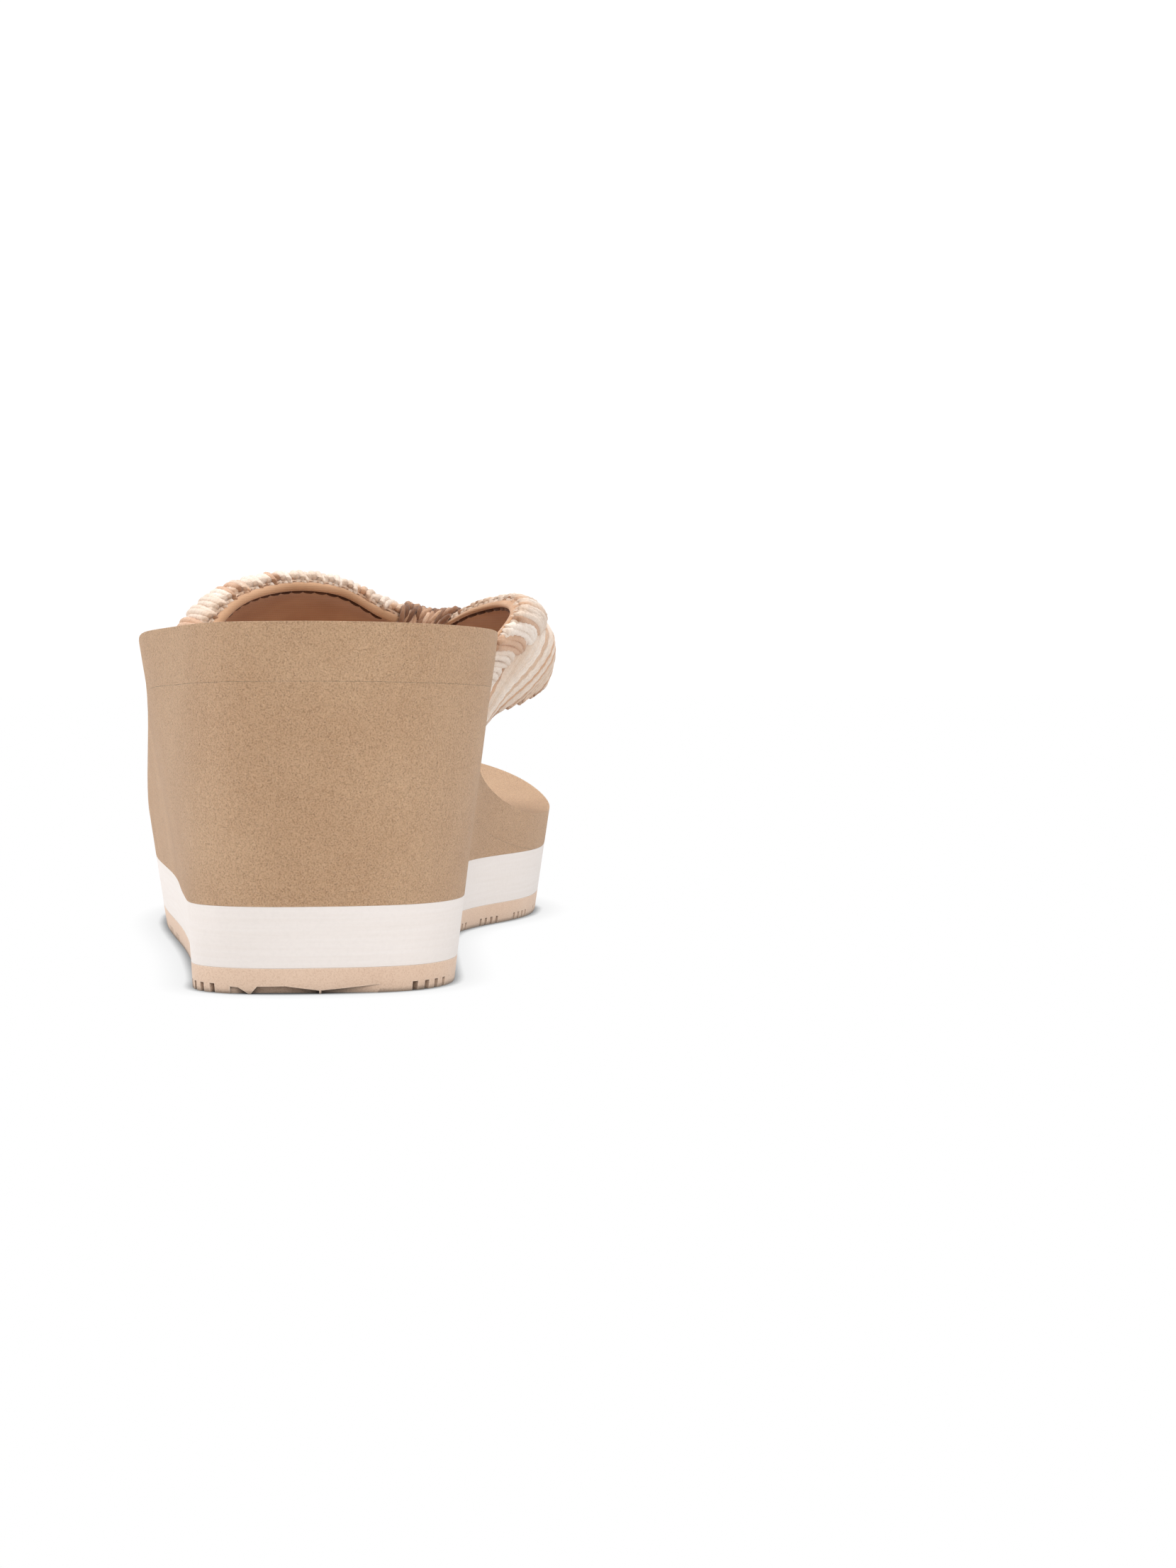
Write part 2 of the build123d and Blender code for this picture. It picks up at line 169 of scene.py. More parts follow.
class Mesh:
    """Collects points, faces, a tone for each point and texture places, and makes an object."""

    def __init__(self):
        self.points = []
        self.faces = []
        self.tones = []
        self.places = []
        self.count = 0

    def add_tube(self, rings, tones, closed=False):
        """Joins rings of points, an array of ring by side by axis, into a capped or endless tube."""
        number, sides = rings.shape[:2]
        run = np.linalg.norm(np.diff(rings.mean(1), axis=0), axis=1)
        travelled = np.concatenate([[0.0], np.cumsum(run)])
        self.points.append(rings.reshape(-1, 3))
        self.tones.append(np.broadcast_to(tones, (number, sides)).ravel())
        for ring in range(number if closed else number - 1):
            following = (ring + 1) % number
            for side in range(sides):
                beside = (side + 1) % sides
                corners = ((ring, side), (ring, beside), (following, beside), (following, side))
                self.faces.append([self.count + r * sides + s for r, s in corners])
                high = travelled[ring] + run[ring] if ring < number - 1 else travelled[ring]
                low = travelled[ring]
                self.places += [
                    (low, side / sides), (low, (side + 1) / sides),
                    (high, (side + 1) / sides), (high, side / sides),
                ]
        if not closed:
            for ring, order in ((0, range(sides - 1, -1, -1)), (number - 1, range(sides))):
                self.faces.append([self.count + ring * sides + side for side in order])
                self.places += [(travelled[ring], side / sides) for side in order]
        self.count += number * sides

    def make(self, name):
        """The collected mesh as an object, with its tones and texture places."""
        mesh = bpy.data.meshes.new(name)
        points = to_frame(np.concatenate(self.points))
        mesh.from_pydata(points.tolist(), [], self.faces)
        tone = mesh.attributes.new("tone", "FLOAT", "POINT")
        tone.data.foreach_set("value", np.concatenate(self.tones).astype(np.float32))
        layer = mesh.uv_layers.new(name="strand")
        layer.data.foreach_set("uv", np.array(self.places, np.float32).ravel())
        mesh.shade_smooth()
        mesh.update()
        piece = bpy.data.objects.new(name, mesh)
        bpy.context.scene.collection.objects.link(piece)
        return piece


def round_tube(centres, outward, width, height, twist_per_mm=0.0, sides=10):
    """Rings of an oval yarn whose own two plies wind round it, facing an outward direction."""
    tangent = np.gradient(centres, axis=0)
    tangent /= np.linalg.norm(tangent, axis=1, keepdims=True)
    aside = np.cross(tangent, outward)
    aside /= np.linalg.norm(aside, axis=1, keepdims=True)
    up = np.cross(aside, tangent)
    steps = np.linalg.norm(np.diff(centres, axis=0), axis=1)
    travelled = np.concatenate([[0.0], np.cumsum(steps)])
    angle = np.linspace(0, 2 * math.pi, sides, endpoint=False)[None, :]
    ply = 1 + PLY_RELIEF * np.cos(2 * (angle - twist_per_mm * travelled[:, None]))
    wide = (width[:, None] * ply * np.cos(angle))[..., None] * aside[:, None, :]
    high = (height[:, None] * ply * np.sin(angle))[..., None] * up[:, None, :]
    return centres[:, None, :] + wide + high


def slab_outline(start, end, top, under, points_across=14):
    """Outline of a flat layer with rounded edges, in (across, depth): outer face first, then inner."""
    edge_radius = (under - top) / 2
    middle = (under + top) / 2
    across = np.linspace(start + edge_radius, end - edge_radius, points_across)
    bend = np.linspace(math.pi / 2, -math.pi / 2, EDGE_BEND_POINTS)[1:-1]
    front = np.c_[end - edge_radius + edge_radius * np.cos(bend), middle - edge_radius * np.sin(bend)]
    back = np.c_[start + edge_radius - edge_radius * np.cos(bend), middle + edge_radius * np.sin(bend)]
    upper = np.c_[across, np.full(points_across, top)]
    lower = np.c_[across[::-1], np.full(points_across, under)]
    return np.concatenate([upper, front, lower, back])


def swept_layer(half, outline_at, step=1.2, tone=0.5):
    """A closed layer whose cross-section, given by outline_at(width), follows the strap."""
    line = StrapLine(half)
    count = int(line.length / step)
    rings = []
    for t in line.position(np.linspace(0, line.length, count)):
        outline = outline_at(strap_width(half, t)[0])
        rings.append(strap_points(half, t, outline[:, 0], outline[:, 1]))
    layer = Mesh()
    layer.add_tube(np.array(rings), tone)
    return layer


# ---- Braid: rows of yarn bundles laid side by side along each strap half ----
PLY_TWIST = 1.1
YARN_CENTRE_DEPTH = 1.45
TIP_DEPTH = 1.6
EDGE_TUCK = 0.7
EDGE_TUCK_REACH = 2.4
BACKING_DEPTH = (1.7, 2.2)
BACKING_INSET = 0.2
BACKING_TONE = 0.38
TONES = (0.42, 0.55, 0.66, 0.78, 0.9)
TONE_SPREAD = 0.1
ORANGE_TONE = 0.25
ORANGE_CHANCE = 0.14
BUNDLE_FLATNESS = 0.6
LEAF_FULLNESS = 0.6
LIFT_FULLNESS = 0.8
SIZE_SPREAD = (0.92, 1.06)
PLACE_SPREAD = 0.06
TIP_YARN_SIZE = 0.7
# Painted shade at a bundle's tips, where it tucks under its neighbours: its tones are darkened to this
# share there, and the fade sets how soon they come back to full
TIP_PAINTED_SHADE_LEVEL = 0.72
TIP_PAINTED_SHADE_LEVEL_FADE = 2.2
EVEN_TIPS = (0.42, 0.42)
FEWEST_RINGS = 8
FEWEST_INSIDE = 4

# Each row: where its bundles start and end, as shares of the strap's width, how far they slant
# along it for each millimetre across (towards the pocket, or towards the knot if negative), bundle
# pitch along the strap, width and height of a bundle, yarns in it, yarn radius, quarter turns of
# the yarns along it, how far its middle lifts, and the share of full size at its two tips
ROWS = [
    dict(start=0.0, end=0.36, slant=-0.45, pitch=5.6, width=6.3, height=2.8, yarns=7,
         radius=0.84, turn=1.0, lift=0.6, tips=(1.0, 0.3)),
    dict(start=0.30, end=0.99, slant=1.40, pitch=5.1, width=4.7, height=1.9, yarns=6,
         radius=0.78, turn=0.6, lift=0.15, tips=(0.35, 0.95)),
]
RINGS_PER_MM = 1.3
WIDEST_STRAP = 45.0
LEAST_ACROSS = 0.2


def leaf(x, tips=EVEN_TIPS):
    """Share of full size along a bundle: smaller at its two tips, full over its middle."""
    tip = tips[0] + (tips[1] - tips[0]) * x
    return tip + (1 - tip) * np.sin(np.pi * np.clip(x, 0, 1)) ** LEAF_FULLNESS


def add_bundle(mesh, half, line, row, origin):
    """One bundle of a braid row that starts at a distance along the strap's middle."""
    width_here = strap_width(half, line.position(max(origin, 0.0)))[0]
    reach = (row["end"] - row["start"]) * width_here
    lean = math.hypot(1, row["slant"])
    count = max(FEWEST_RINGS, int(reach * lean * RINGS_PER_MM))
    x = np.linspace(0, 1, count)
    travelled = origin - row["slant"] * reach * x
    inside = (travelled > 0) & (travelled < line.length)
    if inside.sum() < FEWEST_INSIDE:
        return
    x = x[inside]
    travelled = travelled[inside]
    t = line.position(travelled)
    across = (row["start"] + (row["end"] - row["start"]) * x) * strap_width(half, t)
    stretch = line.stretch(t, across)
    swell = leaf(x, row["tips"])
    lift = row["lift"] * np.sin(np.pi * x) ** LIFT_FULLNESS
    bundle_tone = RANDOM.choice(TONES)
    phase = RANDOM.uniform(0, 2 * math.pi)
    # Painted shade: the bundle's tones darken towards its tips
    light = TIP_PAINTED_SHADE_LEVEL + (1 - TIP_PAINTED_SHADE_LEVEL) * np.clip(np.sin(np.pi * x) * TIP_PAINTED_SHADE_LEVEL_FADE, 0, 1)
    for yarn in range(row["yarns"]):
        turn = phase + 2 * math.pi * yarn / row["yarns"] + row["turn"] * math.pi / 2 * x
        aside = np.cos(turn) * (row["width"] / 2 - row["radius"]) * swell
        rise = np.sin(turn) * (row["height"] / 2 - row["radius"] * BUNDLE_FLATNESS) * swell
        yarn_t = line.position(np.clip(travelled + aside / lean, 0, line.length))
        yarn_across = np.maximum(across + aside * row["slant"] / lean, LEAST_ACROSS)
        from_edge = np.minimum(yarn_across, strap_width(half, yarn_t) - yarn_across)
        tuck = EDGE_TUCK * np.clip(1 - from_edge / EDGE_TUCK_REACH, 0, 2) ** 2
        depth = YARN_CENTRE_DEPTH + TIP_DEPTH * (1 - swell) + tuck - lift - rise
        centres = strap_points(half, yarn_t, yarn_across, depth)
        outward = strap_points(half, yarn_t, yarn_across, depth - 1.0) - centres
        full_size = row["radius"] * stretch * RANDOM.uniform(*SIZE_SPREAD)
        size = full_size * (TIP_YARN_SIZE + (1 - TIP_YARN_SIZE) * swell)
        if RANDOM.random() < ORANGE_CHANCE:
            tone = ORANGE_TONE
        else:
            tone = bundle_tone + RANDOM.uniform(-TONE_SPREAD, TONE_SPREAD)
        rings = round_tube(centres, outward, size, size, PLY_TWIST)
        mesh.add_tube(rings, (tone * light)[:, None])


def make_braid(half):
    """The braided outer face of one strap half, on a plain backing in a dark tone."""

    def backing_at(width):
        return slab_outline(BACKING_INSET, width - BACKING_INSET, *BACKING_DEPTH)

    line = StrapLine(half)
    braid = swept_layer(half, backing_at, tone=BACKING_TONE)
    for row in ROWS:
        sweep = row["slant"] * WIDEST_STRAP
        for place in np.arange(min(0.0, sweep), line.length + max(0.0, sweep), row["pitch"]):
            origin = place + (0.5 + RANDOM.uniform(-PLACE_SPREAD, PLACE_SPREAD)) * row["pitch"]
            add_bundle(braid, half, line, row, origin)
    return braid.make(f"{half}_braid_yarn")


# ---- Knot wrap: knitted columns of V-shaped stitches round the gathered strap ----
# Depths of the middle of the knitted band where it passes over the strap and under it
WRAP_MIDDLE_DEPTH = (-1.1, 6.6)
WRAP_BEYOND_EDGE = 2.2
# Painted shade on the knot: its stitches' tones are darkened to this share, and its backing gets a dark
# tone that shows as painted shade in the gaps between the stitches
WRAP_PAINTED_SHADE = 0.3
WRAP_BACKING_PAINTED_SHADE_TONE = 0.05
WRAP_CORNER = 3.2
WRAP_CORNER_POINTS = 9
# The backing's two faces, in millimetres outwards from the middle of the band
WRAP_BACKING = (-0.9, 0.36)
WRAP_BACKING_INSET = 0.4
WRAP_BACKING_STEP = 4
COLUMNS = 4
COLUMN_WIDTH = 3.3
STITCH_RISE = 4.6
STITCH_OVERLAP = 1.25
LEG_YARNS = 3
LEG_RADIUS = 0.62
LEG_RINGS = 12
LEG_TURN = 1.2
LEG_HAND_TURN = 0.4
LEG_START = 0.15
LEG_END_GAP = 0.35
# How far a leg's yarns wind about its middle: aside, along and outwards
LEG_COIL = (0.5, 0.35, 0.45)
LEG_BASE = 0.1
LEG_ARCH = 0.6
LEG_TONE_SPREAD = (-0.12, 0.08)
# Painted shade at a knit leg's tips: its tones are darkened to this share there
LEG_TIP_PAINTED_SHADE_LEVEL = 0.7
YARN_SIDES = 8


def wrap_path(width, samples=400):
    """Closed path round the strap in (across, depth), and outward directions, evenly spaced."""
    low, high = WRAP_MIDDLE_DEPTH
    start = -WRAP_BEYOND_EDGE
    end = width + WRAP_BEYOND_EDGE
    corners = [
        (end - WRAP_CORNER, low + WRAP_CORNER, -90), (end - WRAP_CORNER, high - WRAP_CORNER, 0),
        (start + WRAP_CORNER, high - WRAP_CORNER, 90), (start + WRAP_CORNER, low + WRAP_CORNER, 180),
    ]
    points = []
    for across, depth, first in corners:
        for angle in np.radians(np.linspace(first, first + 90, WRAP_CORNER_POINTS)):
            points.append((across + WRAP_CORNER * np.cos(angle), depth + WRAP_CORNER * np.sin(angle)))
    points = np.array(points + points[:1])
    run = np.concatenate([[0.0], np.cumsum(np.linalg.norm(np.diff(points, axis=0), axis=1))])
    even = np.linspace(0, run[-1], samples)
    path = np.c_[np.interp(even, run, points[:, 0]), np.interp(even, run, points[:, 1])]
    heading = np.gradient(path, axis=0)
    normal = np.c_[heading[:, 1], -heading[:, 0]]
    normal /= np.linalg.norm(normal, axis=1, keepdims=True)
    return even, path, normal


def make_knot_wrap():
    """The knitted band that gathers both strap halves at the middle."""
    span = len(STATIONS["wrap"]) - 1
    middle_width = strap_width("wrap", span / 2)[0]
    run, path, normal = wrap_path(middle_width)
    around = run[-1]
    ends = strap_points("wrap", np.array([0.0, span]), middle_width / 2, 0.0)
    t_per_mm = span / np.linalg.norm(np.diff(ends, axis=0))

    def place(travelled, aside, rise):
        """Points at a distance round the band, beside its centre line and above its middle."""
        travelled = np.mod(travelled, around)
        spot = [np.interp(travelled, run, path[:, i]) for i in (0, 1)]
        away = [np.interp(travelled, run, normal[:, i]) for i in (0, 1)]
        t = span / 2 + aside * t_per_mm
        return strap_points("wrap", t, spot[0] + away[0] * rise, spot[1] + away[1] * rise)

    knit = Mesh()
    backing_edge = COLUMNS * COLUMN_WIDTH / 2 - WRAP_BACKING_INSET
    outline = slab_outline(-backing_edge, backing_edge, *WRAP_BACKING, points_across=10)
    spots = run[:-1:WRAP_BACKING_STEP]
    rings = [place(np.full(len(outline), spot), outline[:, 0], outline[:, 1]) for spot in spots]
    # Backing in a dark tone: painted shade between the stitches
    knit.add_tube(np.array(rings)[:, ::-1], WRAP_BACKING_PAINTED_SHADE_TONE, closed=True)
    rises = int(around / STITCH_RISE)
    pitch = around / rises
    x = np.linspace(0, 1, LEG_RINGS)
    swell = leaf(x)
    size = LEG_RADIUS * (TIP_YARN_SIZE + (1 - TIP_YARN_SIZE) * swell)
    # Painted shade: the leg's tones darken towards its tips
    light = LEG_TIP_PAINTED_SHADE_LEVEL + (1 - LEG_TIP_PAINTED_SHADE_LEVEL) * np.sin(np.pi * x)
    coil_aside, coil_along, coil_rise = LEG_COIL
    leg_reach = COLUMN_WIDTH / 2 - LEG_END_GAP
    for column in range(COLUMNS):
        centre = (column - (COLUMNS - 1) / 2) * COLUMN_WIDTH
        for number in range(rises):
            origin = (number + 0.5 * (column % 2)) * pitch
            # Stitch tones darkened: painted shade on the knot
            stitch_tone = RANDOM.choice(TONES) * WRAP_PAINTED_SHADE
            for hand in (-1, 1):
                for yarn in range(LEG_YARNS):
                    turn = 2 * math.pi * yarn / LEG_YARNS + LEG_TURN * x + LEG_HAND_TURN * hand
                    aside = centre + hand * (LEG_START + leg_reach * x) + coil_aside * np.cos(turn) * swell
                    travelled = origin + pitch * STITCH_OVERLAP * x + coil_along * np.cos(turn)
                    rise = LEG_BASE + LEG_ARCH * np.sin(np.pi * x) + coil_rise * np.sin(turn) * swell
                    centres = place(travelled, aside, rise)
                    outward = place(travelled, aside, rise + 1.0) - centres
                    tone = stitch_tone + RANDOM.uniform(*LEG_TONE_SPREAD)
                    rings = round_tube(centres, outward, size, size, PLY_TWIST, YARN_SIDES)
                    knit.add_tube(rings, (tone * light)[:, None])
    return knit.make("knot_wrap_knit")


# ---- Under layers, edge bindings and stitching ----
PADDING_DEPTH = (2.25, 3.25)
PADDING_INSET = 0.4
PADDING_PINCH = 0.45
WEBBING_DEPTH = (3.3, 3.55)
WEBBING_INSET = 6.0
LINING_DEPTH = (3.6, 4.2)
CORE_DEPTH = (4.5, 5.3)
CORE_INSET = 8.0

# (across from the edge, depth) round the rolled tape, whose hem laps on to the lining
ROLL_OUTLINE = [
    (0.6, 2.3), (-0.2, 2.25), (-0.9, 2.45), (-1.3, 2.95), (-1.3, 3.65), (-0.95, 4.25), (-0.3, 4.5),
    (0.5, 4.55), (1.1, 4.5), (1.3, 4.35), (1.1, 4.2), (0.3, 4.15), (-0.1, 3.7), (-0.1, 3.0), (0.5, 2.6),
]
BINDING_TONE = 0.6
LINING_INSET = 0.1
LINING_PUFF = 0.9
LINING_PUFF_REACH = 7.0
STITCH_LENGTH = 4.1
STITCH_PITCH = 4.2
STITCH_RADIUS = 0.4
STITCH_INSET = 1.75
STITCH_DEPTH = 4.45
STITCH_RINGS = 7
STITCH_TWIST = 3.0
# A stitch's depth and thickness, in radii: its value at the middle, and the loss towards its ends
STITCH_ARCH = (0.9, 2.5)
STITCH_TAPER = (1.1, 1.2)
FIRST_STITCHED_STATION = 2


def make_binding(half, edge):
    """The tape rolled round the back or the front edge, with its hem lapped on to the lining."""
    outline = np.array(ROLL_OUTLINE)

    def roll_at(width):
        if edge == "back":
            return outline[::-1]
        return np.c_[width - outline[:, 0], outline[:, 1]]

    piece = swept_layer(half, roll_at, tone=BINDING_TONE).make(f"{half}_{edge}_binding_roll")
    add_subdivision(piece)
    return piece


def make_layer(half, name, depths, inset, pinch=0.0):
    """A flat layer of the strap, thinner at its edges by pinch times its thickness."""

    def outline_at(width):
        outline = slab_outline(inset, width - inset, *depths)
        middle = sum(depths) / 2
        from_edge = np.abs(outline[:, 0] / width - 0.5) * 2
        outline[:, 1] = middle + (outline[:, 1] - middle) * (1 - pinch * from_edge**4)
        return outline

    return swept_layer(half, outline_at).make(name)


def make_lining(half):
    """The smooth inner face, stitched down along its edges and pushed out by the padding."""

    def outline_at(width):
        outline = slab_outline(LINING_INSET, width - LINING_INSET, *LINING_DEPTH, points_across=30)
        from_edge = np.minimum(outline[:, 0], width - outline[:, 0]) - STITCH_INSET
        swell = np.clip(from_edge / LINING_PUFF_REACH, 0, 1)
        outline[:, 1] += LINING_PUFF * np.sin(np.pi / 2 * swell)
        return outline

    return swept_layer(half, outline_at).make(f"{half}_lining_cloth")


def make_stitches(half):
    """A row of thread stitches along each binding's hem, on the lining side."""
    line = StrapLine(half)
    first = np.interp(FIRST_STITCHED_STATION, line.t, line.travelled)
    last = np.interp(len(STATIONS[half]) - 2, line.t, line.travelled)
    thread = Mesh()
    x = np.linspace(-0.5, 0.5, STITCH_RINGS)
    depth = STITCH_DEPTH + STITCH_RADIUS * (STITCH_ARCH[0] - STITCH_ARCH[1] * x**2)
    size = STITCH_RADIUS * (STITCH_TAPER[0] - STITCH_TAPER[1] * x**2)
    for from_front in (False, True):
        for start in np.arange(first, last, STITCH_PITCH):
            t = line.position(start + STITCH_LENGTH * x)
            across = np.full(len(t), STITCH_INSET)
            if from_front:
                across = strap_width(half, t) - STITCH_INSET
            centres = strap_points(half, t, across, depth)
            outward = strap_points(half, t, across, depth - 1.0) - centres
            thread.add_tube(round_tube(centres, outward, size, size, STITCH_TWIST, YARN_SIDES), 0.5)
    return thread.make(f"{half}_stitches")


def add_subdivision(piece):
    """One level of smooth subdivision."""
    modifier = piece.modifiers.new("smooth", "SUBSURF")
    modifier.levels = 1
    modifier.render_levels = 1


# ---- Materials ----
WHITE = (1.0, 1.0, 1.0)
# How alike a surface's own direction and its rounded one are, off an edge and on it
FLAT_LIKENESS = 0.99
SHARP_LIKENESS = 0.80
# A Mix node's inputs for the share and the two colours, and its output for the blended colour
MIX_INPUTS = (0, 6, 7)
MIX_OUTPUT = 2


def grey(value):
    """A grey as a shader colour."""
    return (value, value, value)


class Nodes:
    """A material with a short way to add and join its nodes."""

    def __init__(self, name):
        self.material = bpy.data.materials.new(name)
        self.material.use_nodes = True
        self.tree = self.material.node_tree
        self.shader = self.tree.nodes["Principled BSDF"]
        self.place = self.add("ShaderNodeTexCoord").outputs["Object"]

    def add(self, kind, **settings):
        node = self.tree.nodes.new(kind)
        for key, value in settings.items():
            setattr(node, key, value)
        return node

    def join(self, source, target):
        self.tree.links.new(source, target)

    def noise(self, scale, detail=3.0, roughness=0.55, source=None):
        """Noise with features 1 / scale metres apart."""
        node = self.add("ShaderNodeTexNoise")
        node.inputs["Scale"].default_value = scale
        node.inputs["Detail"].default_value = detail
        node.inputs["Roughness"].default_value = roughness
        self.join(source or self.place, node.inputs["Vector"])
        return node.outputs["Fac"]

    def stretched(self, scale, source=None, turn=0.0):
        """Places scaled by a different amount along each axis, and turned about Z."""
        node = self.add("ShaderNodeMapping")
        node.inputs["Scale"].default_value = scale
        node.inputs["Rotation"].default_value = (0.0, 0.0, turn)
        self.join(source or self.place, node.inputs["Vector"])
        return node.outputs["Vector"]

    def ramp(self, source, stops):
        """Colours or greys at positions along a value."""
        node = self.add("ShaderNodeValToRGB")
        while len(node.color_ramp.elements) < len(stops):
            node.color_ramp.elements.new(1.0)
        for element, (position, colour) in zip(node.color_ramp.elements, stops):
            element.position = position
            element.color = (*colour, 1.0)
        self.join(source, node.inputs["Fac"])
        return node.outputs["Color"]

    def span(self, source, low, high):
        """A value from 0 to 1 turned into one from low to high."""
        node = self.add("ShaderNodeMapRange")
        node.inputs["To Min"].default_value = low
        node.inputs["To Max"].default_value = high
        self.join(source, node.inputs["Value"])
        return node.outputs["Result"]

    def mixed(self, kind, share, first, second):
        """Two colours or values blended."""
        node = self.add("ShaderNodeMix", data_type="RGBA", blend_type=kind)
        for number, value in zip(MIX_INPUTS, (share, first, second)):
            socket = node.inputs[number]
            if isinstance(value, bpy.types.NodeSocket):
                self.join(value, socket)
            else:
                socket.default_value = value if isinstance(value, float) else (*value, 1.0)
        return node.outputs[MIX_OUTPUT]

    def edge_mask(self, reach, share):
        """A share on sharp edges, fading to 0 at a distance in metres from them."""
        rounded = self.add("ShaderNodeBevel", samples=6)
        rounded.inputs["Radius"].default_value = reach
        flat = self.add("ShaderNodeNewGeometry").outputs["Normal"]
        likeness = self.add("ShaderNodeVectorMath", operation="DOT_PRODUCT")
        self.join(rounded.outputs["Normal"], likeness.inputs[0])
        self.join(flat, likeness.inputs[1])
        mask = self.add("ShaderNodeMapRange")
        mask.inputs["From Min"].default_value = FLAT_LIKENESS
        mask.inputs["From Max"].default_value = SHARP_LIKENESS
        mask.inputs["To Max"].default_value = share
        self.join(likeness.outputs["Value"], mask.inputs["Value"])
        return mask.outputs["Result"]

    def painted_crease_shade(self, reach):
        """White, darkened with painted shade where surfaces close in within a distance in metres."""
        nearness = self.add("ShaderNodeAmbientOcclusion", samples=8)
        nearness.inputs["Distance"].default_value = reach
        return self.ramp(nearness.outputs["AO"], [(0.3, grey(0.3)), (0.85, WHITE)])

    def bump(self, height, distance, strength=1.0, below=None):
        """Surface relief of a height in metres, on top of other relief."""
        node = self.add("ShaderNodeBump")
        node.inputs["Strength"].default_value = strength
        node.inputs["Distance"].default_value = distance
        self.join(height, node.inputs["Height"])
        if below is not None:
            self.join(below, node.inputs["Normal"])
        return node.outputs["Normal"]

    def finish(self, colour, roughness, normal):
        self.join(colour, self.shader.inputs["Base Color"])
        self.join(roughness, self.shader.inputs["Roughness"])
        self.join(normal, self.shader.inputs["Normal"])
        return self.material


def linear(red, green, blue):
    """A colour given in 0 to 255 display values, as the shader's linear values."""
    shares = [value / 255 for value in (red, green, blue)]
    return tuple(s / 12.92 if s <= 0.04045 else ((s + 0.055) / 1.055) ** 2.4 for s in shares)


GRAIN_PITCH = 0.0003
LUMP_PITCH = 1 / 600
# Reach of the lighter edges: partly rubbed wear, partly a painted highlight
EDGE_WEAR_AND_HIGHLIGHT_REACH = 0.0005
# Reach of the painted shade that darkens creases between layers
PAINTED_CREASE_SHADE_REACH = 0.0012


def foam_material(name, light, middle, dark, worn_and_highlight_colour, wear_and_highlight_share, relief, grain_and_relief_shading_share):
    """Moulded foam or rubber with a fine pebbled skin, like leather grain, faint cloudiness, and lighter
    edges. The grain's colour speckle is partly its own tone and partly painted light and shade of the
    relief; the edges are lighter partly from rubbing and partly from a painted highlight; creases between
    layers are darkened with painted shade."""
    nodes = Nodes(name)
    nodes.shader.inputs["Specular IOR Level"].default_value = 0.5
    nodes.shader.inputs["Sheen Weight"].default_value = 0.08
    nodes.shader.inputs["Sheen Roughness"].default_value = 0.3
    grain = nodes.noise(1 / GRAIN_PITCH, 3.5, 0.65)
    cloud = nodes.noise(45.0, 3.0)
    cloudy = nodes.ramp(cloud, [(0.35, middle), (0.68, light)])
    # Grain speckle: partly the skin's own tone, partly painted light and shade of the pebbled relief, dark
    # in its pits and light on its bumps
    grain_and_painted_relief_shading = nodes.ramp(grain, [(0.36, dark), (0.48, middle), (0.60, light)])
    colour = nodes.mixed("MIX", grain_and_relief_shading_share, cloudy, grain_and_painted_relief_shading)
    # Edges lighter: partly rubbed wear, partly a painted highlight
    colour = nodes.mixed("MIX", nodes.edge_mask(EDGE_WEAR_AND_HIGHLIGHT_REACH, wear_and_highlight_share), colour, worn_and_highlight_colour)
    # Painted shade darkening the creases between layers
    colour = nodes.mixed("MULTIPLY", 1.0, colour, nodes.painted_crease_shade(PAINTED_CREASE_SHADE_REACH))
    roughness = nodes.span(grain, 0.75, 0.45)
    normal = nodes.bump(grain, relief)
    normal = nodes.bump(nodes.noise(1 / LUMP_PITCH, 2.0), relief * 0.8, 0.5, normal)
    return nodes.finish(colour, roughness, normal)


def band_material():
    """Smooth pale foam with faint lines that run round it where it was cut."""
    nodes = Nodes("band_foam")
    nodes.shader.inputs["Specular IOR Level"].default_value = 0.3
    lines = nodes.noise(1.0, 3.0, 0.5, nodes.stretched((40.0, 40.0, 1500.0)))
    skin = nodes.noise(1500.0, 2.0)
    shade = nodes.ramp(lines, [(0.3, linear(231, 222, 216)), (0.7, linear(234, 226, 221))])
    mottle = nodes.ramp(skin, [(0.3, grey(0.95)), (0.6, WHITE)])
    colour = nodes.mixed("MULTIPLY", 0.5, shade, mottle)
    normal = nodes.bump(lines, 0.00003, 0.3)
    normal = nodes.bump(skin, 0.00004, 0.6, normal)
    return nodes.finish(colour, nodes.span(skin, 0.75, 0.55), normal)


